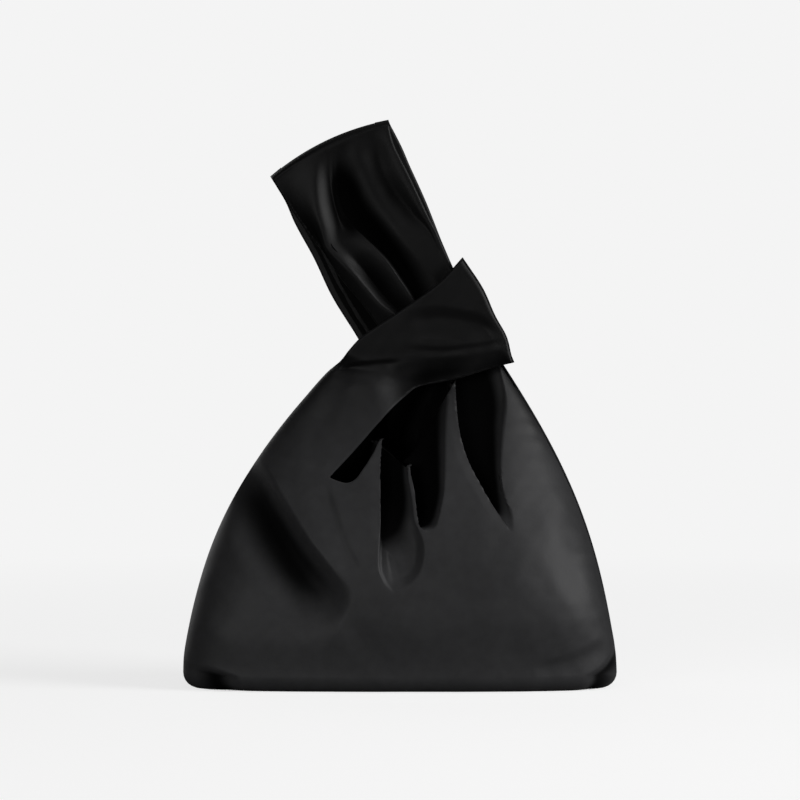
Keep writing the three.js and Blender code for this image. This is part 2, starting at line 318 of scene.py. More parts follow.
def half_depth(z):
    """Half the belly's depth, less a smooth step below the belly and a falling cosine above it."""
    below = np.clip((belly_height - z) / (belly_height - base_round), 0, 1)
    above = np.clip((z - belly_height) / (gather_height - belly_height), 0, 1)
    low = belly_depth / 2 - (belly_depth - base_depth) / 2 * below**2 * (3 - 2 * below)
    high = neck_depth / 2 + (belly_depth - neck_depth) / 2 * np.cos(np.pi / 2 * above) ** neck_draw
    return np.where(z < belly_height, low, high)


def section(x, z):
    """How far out the cloth lies at a place: a rounded rectangle across, from the left reach to the right."""
    left = reach_left(z)
    right = reach_right(z)
    side = np.clip(np.abs(2 * x - right + left) / (right + left), 0, 1)
    squareness = base_squareness + (neck_squareness - base_squareness) * smooth(0, oval_from, share_up(z))
    return half_depth(z) * (1 - side**squareness) ** (1 / squareness)


def puckers(x, z):
    """Small creases that run in from the side seams: a sine of the height with a drifting pace and strength,
    under a bell curve of the distance from the seam that is 0 on the seam itself."""
    left_away = x + reach_left(z)
    right_away = reach_right(z) - x
    left = np.sin(z / 2.6 + 3.0 * np.sin(z / 17)) * (0.6 + 0.4 * np.sin(z / 9 + 1)) * (1 - smooth(70, 110, z))
    right = np.sin(z / 2.3 + 2.5 * np.sin(z / 15 + 2)) * (0.55 + 0.45 * np.sin(z / 12))
    total = 0
    for away, wave in ((left_away, left), (right_away, right)):
        total = total + wave * smooth(0, 3, away) * np.exp(-((away / pucker_reach) ** 2))
    return pucker_depth * total * smooth(*pucker_start, z) * (1 - smooth(*pucker_end, z))


def crinkles(x, z):
    """The faint unrest of a thin cloth, in three sizes. Each is a product of two sines of the place, whose
    paces drift."""
    large = np.sin(x / 10 + 1.9 * np.sin(z / 27)) * np.sin(z / 15 + 1.6 * np.sin(x / 33 + 1))
    middling = np.sin((x + 0.7 * z) / 5.3 + 2.2 * np.sin(x / 21 + 2)) * np.sin(z / 9.7 + 2 * np.sin(x / 17))
    small = np.sin((0.8 * x - z) / 2.9 + 2.4 * np.sin(z / 13)) * np.sin(x / 4.1 + 2 * np.sin(z / 11 + 1))
    return crinkle_large * large + crinkle_middling * middling + crinkle_small * small


def placed(x, z, out, facing):
    """Points in space from places on the upright plane through the bag's middle and how far out they lie.
    On the front they slide along the camera's line of sight, except near the foot; on the back they stay."""
    y = facing * out
    ray = y / camera_back * smooth(*sight_start, z) * (facing < 0)
    return np.stack([x * (1 + ray), y, z + (z - camera_height) * ray], axis=-1)


# %% [markdown]
# ## The front and back of the bag
# Each is one cloth with a slit, the mouth. Left of the slit the cloth rises over the shoulder and becomes
# the short loop, which lies across the knot. Right of it the cloth is gathered in deep pleats that run up
# under the loop. So each side is two grids that share one line, from the foot to the mouth's corner.

# %% The left-hand grid: up the left side, over the shoulder and along the short loop
front = -1
back = 1
mouth_x = -43.5
mouth_z = 125.4
body_rows = 140
flap_rows = 130
left_columns = 160
right_columns = 300
curl_rows = 6
seam_crowd = 1.3
row_crowd = 0.06
loop_out = 20.0
loop_tilt = 5.5
loop_bow = 2.4
bow_rise = 0.4
loop_wave = 0.6
wave_pace = 11
wave_crowd = 1.6
wave_shift = 0.4
edge_fall = 2.4
flap_lift = 4.5
turn_squareness = 6

# Shares of the way from the mouth's corner to the loop's right-hand end: where the loop opens and turns over,
# and between which shares the cloth does what each name says
loop_opens = 0.52
loop_turns = 0.97
columns_even = (0.5, 0.62)
edge_lifts = (loop_opens - 0.02, 0.64)
flap_flattens = (0.1, 0.62)
flap_rises = (0.1, 0.42)
flap_falls = (0.44, 0.74)
tilt_ends = (0.6, 0.94)
bow_grows = (0.7, 1)
wave_grows = (0.86, 1)

# Places on the upper-left edge and on the neckline, at shares of the way from the mouth's corner to the
# loop's right-hand end. The first share lies below the corner and only gives the lines their slope
flap_share = [-0.2, 0, 0.2, 0.4, 0.52, 0.6, 0.66, 0.7, 0.8, 0.9, 1]
flap_edge = [
    (-99.8, 113), (-92.7, 125.4), (-77.7, 147.6), (-58.5, 171.6), (-42.3, 189.6), (-33.6, 196),
    (-28.6, 202), (-23.7, 207.3), (-1.5, 222.6), (23.1, 240), (38, 256),
]
neckline = [
    (-52, 116), (mouth_x, mouth_z), (-27.5, 143), (-9, 163.5), (1, 173.4), (8.5, 179.4),
    (15.5, 181.6), (21, 182.6), (38, 186.5), (56, 192), (68.6, 195.6),
]


def spine(z):
    """The line that the two grids share, from the foot up to the mouth's corner."""
    return through([0, 60, mouth_z], [-22.0, -29.0, mouth_x], z)


def left_places(detail):
    """Rows of constant height up to the mouth's corner, then rows that swing round over the shoulder."""
    u = np.linspace(0, 1, int(left_columns * detail) + 1)[None, :]
    eased = (1 - np.cos(np.pi * u / 2)) ** seam_crowd
    z = np.linspace(base_round, mouth_z, int(body_rows * detail) + 1)[:, None]
    low_x = -reach_left(z) + (spine(z) + reach_left(z)) * eased
    s = np.linspace(0, 1, int(flap_rows * detail) + 1)[1:]
    s = s + row_crowd * np.sin(np.pi * s) * s
    outer = through(flap_share, flap_edge, s)[:, None, :]
    inner = through(flap_share, neckline, s)[:, None, :]
    opened = smooth(*columns_even, s)[:, None]
    across = (eased * (1 - opened) + u * opened)[..., None]
    high = outer + (inner - outer) * across
    bow = loop_bow * np.sin(np.pi * across[..., 0]) * smooth(*bow_grows, s)[:, None]
    wave = np.sin(wave_pace * across[..., 0] ** wave_crowd + wave_shift)
    bow = bow + loop_wave * wave * smooth(*wave_grows, s)[:, None]
    x = np.concatenate([low_x, high[..., 0] + bow])
    z = np.concatenate([np.broadcast_to(z, low_x.shape), high[..., 1] + bow * bow_rise])
    way = np.concatenate([np.zeros(len(low_x)), s])[:, None]
    return x, z, u, way


def left_out(x, z, u, way, inner):
    """How far out the left-hand grid lies: the bag's section, which turns into the flat of the loop, and the
    loop's fold at its right-hand end."""
    to_seam = x - (x[:, :1] + reach_left(z[:, :1])) * (1 - u)
    body = section(to_seam, z) * (1 - inner / half_depth(z))
    opened = smooth(*edge_lifts, way)
    facing_left = loop_tilt * (1 - smooth(*tilt_ends, way))
    flat = (loop_out - facing_left - inner) * (1 - (1 - opened) * (1 - u) ** edge_fall)
    share = smooth(*flap_flattens, way)
    lifted = flap_lift * smooth(*flap_rises, way) * (1 - smooth(*flap_falls, way)) * u
    turned = np.clip((way - loop_turns) / (1 - loop_turns), 0, 1)
    over = (1 - turned**turn_squareness) ** (1 / turn_squareness)
    return (body * (1 - share) + flat * share + lifted) * over


# %% The right-hand grid: a net between the foot, the gathered edge, the shared line and the right-hand seam
side_crowd = 1.15
pleat_ramp = 0.8
ridge_width = 7.0
ridge_round = 0.5
ridge_depth = 8.0


def right_places(lip_share, lip, detail):
    """Each place adds up the four lines' places and takes away what the corners count twice."""
    u = np.linspace(0, 1, int(right_columns * detail) + 1)[None, :]
    v = np.linspace(0, 1, int(body_rows * detail) + 1)[:, None]
    near = 1 - (1 - np.sin(np.pi * u / 2)) ** side_crowd
    seam_z = base_round + (lip[-1][1] - base_round) * v
    seam_x = reach_right(seam_z)
    shared_z = base_round + (mouth_z - base_round) * v
    shared_x = spine(shared_z)
    top = through(lip_share, lip, u)
    corner_x = mouth_x + (reach_right(lip[-1][1]) - mouth_x) * near
    corner_z = mouth_z + (lip[-1][1] - mouth_z) * near
    x = v * (top[..., 0] - corner_x) + (1 - near) * shared_x + near * seam_x
    z = v * (top[..., 1] - corner_z) + (1 - near) * shared_z + near * seam_z
    return x, z, u


def pleated(x, z, pleats, drop, undercut, inner):
    """The depth of the pleats at each place, and how far they slide to the left. A pleat drops at its left
    edge and rises steadily to its right edge. Its wall on the left takes the drop's share of its width, and
    is tucked under the ridge by the undercut's share of its depth. The ridge rounds over, fully where the
    pleat is deep. A cloth inside the satin has its wall that much further left."""
    total = np.zeros_like(x)
    slide = np.zeros_like(x)
    for pleat in pleats:
        left = through(pleat["z"], pleat["left"], z) - inner
        right = through(pleat["z"], pleat["right"], z)
        depth = through(pleat["z"], pleat["depth"], z) * (z > pleat["z"][0])
        across = np.clip((x - left) / (right - left), 0, 1)
        dropped = smooth(0, drop, across)
        over = ridge_round * np.minimum(depth / ridge_depth, 1) * smooth(-ridge_width, 0, x - left)
        total += (depth * dropped + over) * (1 - across) ** pleat_ramp
        slide += depth * undercut * dropped * (1 - across) ** 2 * (across < 1)
    return total, slide


# %% [markdown]
# ## The folds
# The weight of the bag hangs from the knot, so its folds fan out from there. On the front three deep
# pleats run down from the knot, and one large fold drops from the left shoulder to the middle. The back
# is not in the photograph: it has the same pleats, half as deep, and soft folds of its own.

# %% The front's gathered edge and pleats
# The gathered edge runs from the mouth's corner over two pleats, then out of sight under the short loop
front_lip_share = [
    0, 0.05, 0.09, 0.13, 0.17, 0.22, 0.27, 0.33, 0.39, 0.43, 0.49, 0.56, 0.64, 0.7, 0.8, 0.9, 1,
]
front_lip = [
    (mouth_x, mouth_z), (-37.5, 122.6), (-31.5, 121.4), (-26.3, 124), (-21.5, 130.5), (-16, 139),
    (-11.1, 147.4), (-5, 141), (1, 133.5), (4.8, 131), (11, 139), (19, 157), (30.5, 177.6), (37, 188),
    (47, 194), (56, 195.5), (60.3, 195.6),
]

# Each pleat: heights, its left and right edge there, and its depth there
front_pleats = [
    {
        "z": [58, 60, 63.5, 69, 78, 88, 98, 112, 130, 150, 170],
        "left": [-4, -5.5, -9, -12.3, -13.2, -12.4, -11.7, -11.7, -11.7, -10.5, -8],
        "right": [-1, 1.5, 6, 11.5, 14.8, 13.8, 9.4, 7.2, 4.4, 8, 14],
        "depth": [0, 0.5, 1.2, 2, 3.2, 6, 11, 17, 20, 20, 16],
    },
    {
        "z": [93.5, 96, 100, 106, 114, 130, 148, 165, 178, 190],
        "left": [14, 12, 11, 10, 9.2, 6.2, 6, 11, 19, 24],
        "right": [18.5, 21, 22.6, 24.2, 25.8, 26.8, 27, 27.6, 28.6, 29],
        "depth": [0, 8, 14, 18, 20, 20, 18, 15, 12, 10],
    },
    {
        "z": [93, 98, 103, 113, 122, 134, 144, 154, 172, 190],
        "left": [66, 62.5, 59.5, 53, 48, 41.6, 38, 35.6, 33.6, 33],
        "right": [67.5, 67.5, 67, 63, 61, 60.4, 60.9, 61.8, 63.3, 60],
        "depth": [0, 2, 5, 11, 16, 19, 19, 18, 17, 14],
    },
]


# %% The front's soft folds
def front_folds(x, z):
    """The folds below the mouth, in millimetres inwards."""
    large_fold = [(-22, 60), (-36, 69), (-53, 88), (-67, 110), (-80, 132), (-93, 150)]
    broad_dip = [(4, 34), (-26, 59), (-50, 84), (-67, 110), (-80, 132), (-93, 150)]
    pleat_end = [(-12, 58), (-3, 58.5), (6, 61.5), (12.5, 68), (15.6, 79), (14, 92), (9, 104)]
    total = fold(x, z, large_fold, 12, 32, 13.0, 0.34)
    total += fold(x, z, broad_dip, 18, 90, 6.0, 0.45)
    total += fold(x, z, [(-16, 64), (-29, 86), (-37, 108), (-42, 125)], 5, 14, 1.2)
    total += fold(x, z, pleat_end, 7, 24, 3.0, 0.3)
    total += valley(x, z, [(-122, 60), (-96, 44), (-60, 42), (-30, 50)], 10, 1.0)
    total += fold(x, z, [(122, 34), (100, 24), (76, 19)], 6, 12, 1.6)
    total += valley(x, z, [(112, 120), (104, 84), (101, 50)], 9, 1.4)
    return total


def front_corners(x, z):
    """The folds at the foot's corners, where the cloth is tucked round the base, in millimetres inwards."""
    total = fold(x, z, [(-76, 4), (-92, 8.5), (-110, 14), (-133, 19)], 5, 40, 6.0, 0.4)
    total += fold(x, z, [(129, 34), (123.5, 20), (114, 11.5), (92, 4)], 4, 12, 5.5, 0.4)
    return total


def front_flap_folds(x, z):
    """The folds of the flap and of the short loop's front, in millimetres inwards."""
    total = valley(x, z, [(-86, 136), (-66, 134), (-46, 128)], 6, 2.0)
    total += fold(x, z, [(2, 197), (-14, 196), (-30, 194), (-44, 188)], 3, 12, 2.6)
    total += valley(x, z, [(-36, 188), (-42, 170), (-50, 150)], 7, 1.2)
    total += fold(x, z, [(76, 219), (44, 226), (22, 229), (0, 226)], 9, 12, 2.6)
    total += valley(x, z, [(76, 205), (58, 202), (40, 200)], 8, 1.6, 0.4)
    total += valley(x, z, [(42, 190), (22, 190), (0, 184)], 7, 2.6, 0.4)
    total += fold(x, z, [(64, 210), (44, 206), (24, 204), (0, 206)], 3, 5, 0.7)
    total += fold(x, z, [(90, 208), (48, 202), (24, 198), (-20, 190)], 14, 40, 5.0, 0.15)
    return total


# %% The back's gathered edge, pleats and soft folds
# Here the gathered edge lies under the flap, so that the mouth hangs closed
back_lip_share = [0, 0.12, 0.25, 0.38, 0.5, 0.62, 0.75, 0.88, 1]
back_lip = [
    (mouth_x, mouth_z), (-38, 134), (-26, 150), (-12, 165), (0, 177), (14, 187), (30, 193), (47, 195),
    (60.3, 195.6),
]
back_share = 0.5
back_pleats = [{**pleat, "depth": [back_share * deep for deep in pleat["depth"]]} for pleat in front_pleats]


def back_folds(x, z):
    """The folds of the lower back, in millimetres inwards."""
    total = fold(x, z, [(-40, 70), (-66, 94), (-82, 124)], 13, 20, 6.0, 0.3)
    total += fold(x, z, [(116, 40), (86, 44), (58, 62)], 9, 16, 2.4)
    return total


def back_corners(x, z):
    """The folds at the foot's corners on the back, in millimetres inwards."""
    total = valley(x, z, [(-128, 14), (-114, 7), (-98, 5)], 4.0, 4.0)
    total += valley(x, z, [(128, 34), (125, 16), (112, 6)], 4.5, 4.0)
    return total


def back_flap_folds(x, z):
    """The folds of the back flap and of the short loop's back, in millimetres inwards."""
    total = valley(x, z, [(-86, 140), (-66, 138), (-46, 130)], 6, 2.0)
    total += fold(x, z, [(70, 224), (40, 222), (6, 218)], 7, 10, 2.2)
    total += valley(x, z, [(62, 200), (34, 200), (4, 198)], 5, 2.0)
    return total


# Each side's folds and gathered edge, its pleats' walls, and how deep the gathered edge is tucked in
sides = {
    front: {
        "folds": front_folds,
        "corners": front_corners,
        "flap_folds": front_flap_folds,
        "pleats": front_pleats,
        "drop": 0.12,
        "undercut": 0.4,
        "lip_share": front_lip_share,
        "lip": front_lip,
        "tucked": 0.0,
    },
    back: {
        "folds": back_folds,
        "corners": back_corners,
        "flap_folds": back_flap_folds,
        "pleats": back_pleats,
        "drop": 0.35,
        "undercut": 0.0,
        "lip_share": back_lip_share,
        "lip": back_lip,
        "tucked": 3.0,
    },
}


# %% Both grids of a side, at any depth inside the cloth
fold_share = 0.8
least_hold = 0.01
# Painted shade in the folds: the most it darkens the satin, the depths in millimetres between which it comes
# in, and how strongly each kind of fold counts.
deepest_shade = 0.96
shade_between = (2.5, 9)
fold_shading = 0.45
flap_shading = 1.2
pleat_shading = 1.5
corner_shading = 1.4
inset_reach = 115

# Shares of the way, of the width or of the height between which the flap's folds start, the loop's folds
# end, the body's folds end at the seam, and the gathered edge is tucked in
flap_starts = (0.05, 0.2)
loop_ends = (0.93, 1)
seam_ends = (0, 0.06)
tuck_up = (0.9, 1)
tuck_across = (0, 0.1)


def curled(grid, inner):
    """Rows below a grid that turn in under the bag: a quarter circle of the base's round."""
    angles = np.linspace(0, np.pi / 2, curl_rows + 1)[:-1]
    foot = grid[:1]
    inset = base_round * (1 - np.sin(angles))[:, None]
    x = foot[..., 0] * (1 - inset / (base_width / 2))
    y = foot[..., 1] * (1 - inset / half_depth(base_round))
    z = np.broadcast_to(inner + (base_round - inner) * (1 - np.cos(angles))[:, None], x.shape)
    return np.concatenate([np.stack([x, y, z], axis=-1), grid])


def held(inwards, out):
    """A fold's depth, held back softly so that it never takes more than most of what lies under it."""
    most = fold_share * out + least_hold
    return most * np.tanh(inwards / most)


def worn_by(inwards):
    """Painted shade: how lit each place is painted, 1 on the ridges, and little once it lies some way down in
    a fold.
    """
    return 1 - deepest_shade * smooth(*shade_between, inwards)


def side_grids(facing, inner, detail):
    """The left-hand and the right-hand grid of one side, for a cloth that lies that far inside the satin, and
    the painted shade of both: how lit each place is painted. Such a cloth is narrower by its inset at the
    inset's reach from the middle."""
    side = sides[facing]
    x, z, u, way = left_places(detail)
    on_flap = smooth(*flap_starts, way)
    corner = side["corners"](x, z) * (1 - on_flap)
    soft = side["folds"](x, z) + puckers(x, z)
    inwards = soft * (1 - on_flap) + side["flap_folds"](x, z) * on_flap + crinkles(x, z)
    # Painted shade: the deeper a place lies in a fold, the darker the satin is painted there.
    shade_paint = fold_shading + (flap_shading - fold_shading) * on_flap
    painted_light = [worn_by(shade_paint * inwards + corner_shading * corner)]
    inwards += corner
    out = left_out(x, z, u, way, inner)
    out -= held(inwards * (1 - smooth(*loop_ends, way)), out)
    narrow = 1 - inner / inset_reach * (way < loop_opens)
    left = placed(x * narrow, z, out, facing)
    x, z, u = right_places(side["lip_share"], side["lip"], detail)
    v = np.linspace(0, 1, len(x))[:, None]
    deep, slide = pleated(x, z, side["pleats"], side["drop"], side["undercut"], inner)
    soft = side["folds"](x, z) + crinkles(x, z)
    corner = side["corners"](x, z)
    inwards = (soft + corner + deep) * smooth(*seam_ends, 1 - u) + puckers(x, z)
    # Painted shade on the right-hand grid, darkest deep in the pleats.
    painted_light.append(worn_by(pleat_shading * deep + fold_shading * soft + corner_shading * corner))
    inwards = inwards + side["tucked"] * smooth(*tuck_up, v) * smooth(*tuck_across, u)
    out = section(x, z) * (1 - inner / half_depth(z))
    out -= held(inwards, out)
    right = placed((x - slide) * (1 - inner / inset_reach), z, out, facing)
    painted_light = [np.pad(value, ((curl_rows, 0), (0, 0)), mode="edge") for value in painted_light]
    return curled(left, inner), curled(right, inner), painted_light


def knot_blend(piece):
    """The piece's placement is baked into its mesh. It does not bend with the knot."""
    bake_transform(piece)


# %% The satin of the bag's front and back
hem_lead = 0.04


def bag_side(name, facing, nodes):
    """The outer cloth of one side with its half of the short loop and its rolled edges. The hem of the loop's
    upper edge leads the place where the loop opens by a small share of the way."""
    left, right, painted_light = side_grids(facing, 0.0, 1.0)
    above = left[curl_rows + body_rows :]
    first = int(flap_rows * (loop_opens - hem_lead))
    hems = [hem_right(above, facing), hem_left(above[first:], facing)]
    hems.append(hem_top(right, facing, radius=lip_radius, width=lip_width))
    # The gathered edge's rolled hem takes the painted shade of the edge's last row; the other hems get none.
    lip_painted_light = np.repeat(painted_light[1][-1:], len(hems[2]), axis=0)
    painted_light += [np.ones(hems[0].shape[:2]), np.ones(hems[1].shape[:2]), lip_painted_light]
    piece = cloth(name, [left, right] + hems, flipped=facing == back, painted_light=painted_light, sharp=facing == front)
    knot_blend(piece)
    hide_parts(*nodes)
    return piece


bag_front = bag_side("bag_front", front, ["shell_front", "short_loop_front"])
bag_back = bag_side("bag_back", back, ["shell_back", "short_loop_back"])

# %% [markdown]
# ## Inside the bag
# A lined bag has a second bag inside it, and a thin felt between the two that keeps the satin smooth. They
# follow the satin's folds, a little further in. What shows of them is the dark lining in the mouth.

# %% A layer's front and back
lining_inset = 3.2
felt_inset = 1.7
inner_detail = 0.5


def layers(make, names, nodes, inner, finish, inside_out):
    """The front and the back piece of one layer. Both patterns take the name of the side."""
    return [
        make(names.format(side), facing, inner, [nodes.format(side)], finish, inside_out)
        for side, facing in (("front", front), ("back", back))
    ]


# %% Lining and felt of the bag
# The row where the short loop opens, in a grid of the inner detail
loop_row = curl_rows + int(body_rows * inner_detail) + int(flap_rows * inner_detail * loop_opens)


def inner_side(name, facing, inner, nodes, finish, inside_out):
    """A cloth that follows one side of the bag from the foot up to the row where the short loop opens."""
    left, right, _ = side_grids(facing, inner, inner_detail)
    piece = cloth(name, [left[:loop_row], right], flipped=(facing == back) != inside_out)
    knot_blend(piece)
    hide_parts(*nodes)
    return piece


linings = layers(inner_side, "lining_{}_cloth", "lining_{}", lining_inset, "lining", True)
felts = layers(inner_side, "felt_{}", "interlining_{}", felt_inset, "interlining", False)


# %% Lining and felt of the short loop
def loop_layer(name, facing, inner, nodes, finish, inside_out):
    """A cloth that follows the short loop's half from where it opens to its right-hand end."""
    left, _, _ = side_grids(facing, inner, inner_detail)
    piece = cloth(name, [left[loop_row - 1 : -2, 1:-1]], flipped=(facing == back) != inside_out)
    knot_blend(piece)
    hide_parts(*nodes)
    return piece


linings += layers(loop_layer, "loop_lining_{}", "short_loop_lining_{}", lining_inset, "lining", True)
felts += layers(loop_layer, "loop_felt_{}", "short_loop_interlining_{}", felt_inset, "interlining", False)

# %% [markdown]
# ## The base
# The satin turns in under the bag and is sewn to a base panel. A board lies on it inside, under the
# lining, and keeps the foot flat.

# %% Base panel, board and lining
board_thick = 2.0
under_board = 1.6
under_lining = 2.0
board_gap = 1.0
lining_gap = 0.5
foot_rings = 12
foot_steps = 180


def base_sheet(name, height, gap, nodes, facing_up):
    """A flat sheet with the outline of the bag's foot: rings from the middle out to the turned-in edge."""
    turn = np.linspace(0, 2 * np.pi, foot_steps + 1)
    rings = np.linspace(0, 1, foot_rings + 1)[:, None]
    c = np.cos(turn)
    s = np.sin(turn)
    x_half = base_width / 2 - base_round - gap
    y_half = half_depth(base_round) - base_round - gap
    x = rings * x_half * np.sign(c) * np.abs(c) ** (2 / base_squareness)
    y = rings * y_half * np.sign(s) * np.abs(s) ** (2 / base_squareness)
    piece = cloth(name, [np.stack([x, y, np.full_like(x, height)], axis=-1)], flipped=facing_up)
    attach(piece, "bag")
    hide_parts(*nodes)
    return piece


base_panel = base_sheet("base_panel", 0.0, 0.0, ["shell_base"], False)
board = base_sheet("board", under_board + board_thick, board_gap, ["base_board"], True)
base_lining = base_sheet(
    "base_lining", under_lining + board_thick, lining_gap, ["lining_base"], True
)

# %% [markdown]
# ## The long strap
# The strap is one band folded over at its top, so it has a front run and a back run. Both are free at
# their edges and go down into the short loop, where they are gathered. The front run is narrower and is
# drawn into folds by the loop; the back run shows as an edge at its left.

# %% The strap's own frame
strap_lean = np.radians(25.6)
knot_x = 12.3
knot_z = 211.9
strap_top = 123.6
strap_crown = 4.8
strap_foot = -14.0
strap_rows = 190
strap_columns = 130
strap_turn = 4.0
turn_roundness = 2.2
strap_crinkles = 0.6
crinkles_shift = 40
# How strongly the strap's creases are painted darker, per millimetre of depth, as painted shade
strap_shading = 1.5

front_edges = {
    "h": [-14, 10, 31, 50, 72, 92, 110, 124],
    "left": [-20, -20, -23.5, -28.5, -32, -35.5, -38, -39.5],
    "right": [33, 33, 33, 33, 33.4, 33.4, 33.2, 36.5],
}
back_edges = {
    "h": [-14, 12, 43, 70, 94, 106, 124],
    "left": [-33, -34, -37.2, -37.2, -38.4, -37.9, -39.5],
    "right": [34, 33, 34, 36, 36.5, 37, 36.5],
}


def strap_point(w, out, h, facing):
    """Points in space from places in the strap's frame, turned by its lean about the knot."""
    x = knot_x + w * np.cos(strap_lean) - h * np.sin(strap_lean)
    z = knot_z + w * np.sin(strap_lean) + h * np.cos(strap_lean)
    return placed(x, z, out, facing)


# %% The strap's folds
# Lines that run down the strap, from left to right: heights, the place across there, and how deep it lies
front_creases = [
    {
        "at": [-14, 28, 56, 81, 97, 123],
        "across": [-20, -25, -31, -32.4, -35.8, -38.4],
        "depth": [3, 4, 4.5, 5, 5, 2],
    },
    {
        "at": [-14, 16, 25, 40, 52, 61, 70, 81, 95, 108, 123],
        "across": [-6, -9.5, -14, -18.5, -22, -25.5, -28.5, -26.5, -23.5, -18.5, -11],
        "depth": [0, 0, 0, 0, 0, 0.6, 0.8, 0.2, 0, 0, 0],
    },
    {
        "at": [-14, 16, 25, 40, 52, 61, 70, 81, 95, 108, 123],
        "across": [-1, -4.5, -8.5, -12, -14.5, -16.5, -18.5, -15.5, -12.6, -8.8, -2],
        "depth": [4, 5, 5.5, 5.5, 4.5, 3.4, 3.4, 4.6, 4.6, 3.4, 0],
    },
    {
        "at": [-14, 18, 32, 49, 67, 83, 97, 108, 123],
        "across": [7, 5.1, 3.1, 0.2, -6.3, -11.8, -10, -6, 1],
        "depth": [0, 0, 0, 0.6, 2.8, 8.6, 8, 4.6, 0],
    },
    {
        "at": [-14, 18, 32, 49, 67, 83, 97, 108, 123],
        "across": [8.6, 6.7, 4.8, 2, -4.4, -10, -8, -3.5, 3],
        "depth": [5, 6, 7, 8.6, 9.6, 9.8, 8.8, 5.2, 0],
    },
    {
        "at": [-14, 28, 38, 53, 70, 87, 102, 112, 123],
        "across": [24, 22, 20, 16.5, 13, 11, 11, 12, 14],
        "depth": [1, 1, 1, 1.4, 2.2, 2.8, 2.6, 1.2, 0],
    },
    {
        "at": [-14, 40, 56, 63, 77, 93, 107, 116, 123],
        "across": [30, 31, 30, 27, 23, 20.4, 22, 24, 25],
        "depth": [1.2, 1.2, 2.2, 3.4, 4.2, 4.2, 3.6, 1.6, 0],
    },
    {
        "at": [-14, 56, 90, 123],
        "across": [32.5, 32.5, 32.5, 34],
        "depth": [0.8, 0.6, 0.4, 0],
    },
]
back_creases = [
    {"at": [-14, 60, 123], "across": [-33, -36, -39], "depth": [2, 3, 1]},
    {"at": [-14, 60, 123], "across": [-14, -22, -20], "depth": [0, 0, 0]},
    {"at": [-14, 30, 70, 100, 123], "across": [-6, -8, -12, -8, -4], "depth": [5, 6.5, 7, 5, 0]},
    {"at": [-14, 30, 70, 100, 123], "across": [6, 4, 4, 8, 10], "depth": [0, 0, 0.5, 1, 0]},
    {"at": [-14, 30, 70, 100, 123], "across": [16, 15, 14, 16, 18], "depth": [5, 6, 6, 4, 0]},
    {"at": [-14, 60, 123], "across": [32, 34, 35], "depth": [0.5, 0.5, 0]},
]


# %% A run of the strap and what lies inside it
strap_half = {"h": [-14, 10, 40, 80, 120], "out": [9, 11.5, 13.5, 14.5, 13.5]}

runs = {front: (front_edges, front_creases), back: (back_edges, back_creases)}


def strap_grid(facing, inner, detail):
    """One run of the strap: hollow in its folds, and round where it turns over at the top."""
    edges, creases = runs[facing]
    u = np.linspace(0, 1, int(strap_columns * detail) + 1)[None, :]
    v = np.linspace(0, 1, int(strap_rows * detail) + 1)[:, None]
    crown = strap_top - inner + strap_crown * (1 - (2 * u - 1) ** 2)
    h = strap_foot + (crown - strap_foot) * np.sin(np.pi / 2 * v)
    w = through(edges["h"], edges["left"], h) * (1 - u) + through(edges["h"], edges["right"], h) * u
    turn = np.clip((h - crown + strap_turn) / strap_turn, 0, 1)
    deep = creased(w, h, creases) + strap_crinkles * crinkles(w + crinkles_shift, h)
    out = through(strap_half["h"], strap_half["out"], h) - inner - deep * (1 - turn)
    over = (1 - turn**turn_roundness) ** (1 / turn_roundness)
    # Painted shade: the satin is painted darker deep in the strap's creases.
    return strap_point(w, out * over, h, facing), worn_by(strap_shading * deep * (1 - turn))


def strap_piece(name, grids, facing, nodes, inside_out, painted_light=()):
    """A cloth of the strap, with its placement baked into its mesh."""
    piece = cloth(name, grids, flipped=(facing == back) != inside_out, painted_light=painted_light)
    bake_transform(piece)
    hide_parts(*nodes)
    return piece


def strap_run(name, facing, nodes):
    """The satin of one run with its rolled edges."""
    grid, painted_light = strap_grid(facing, 0.0, 1.0)
    grids = [grid, hem_left(grid, facing), hem_right(grid, facing)]
    return strap_piece(name, grids, facing, nodes, False, [painted_light])


def strap_layer(name, facing, inner, nodes, finish, inside_out):
    """A cloth inside one run, narrower than the satin by its hems."""
    grid, _ = strap_grid(facing, inner, inner_detail)
    return strap_piece(name, [grid[:, 2:-2]], facing, nodes, inside_out)


strap_front = strap_run("strap_front", front, ["long_strap_front", "strap_root_front"])
strap_back = strap_run("strap_back", back, ["long_strap_back", "strap_root_back"])
linings += layers(strap_layer, "strap_lining_{}", "long_strap_lining_{}", lining_inset, "lining", True)
felts += layers(strap_layer, "strap_felt_{}", "long_strap_interlining_{}", felt_inset, "interlining", False)


# %% [markdown]
# ## The finishes
# The satin is nearly black and rather matt. What the eye sees is a dark grey with broad, soft highlights on
# the folds, and faint clouds where the threads lie differently. The weave is fine enough to show only close
# up. Deep in the folds the cloth is painted blackest, as painted shade: each mesh carries an attribute that
# says how lit each place is painted, and that mixes the satin with a dead black. The loop and the strap are
# painted darker too, by a ramp of the height, as painted shade.

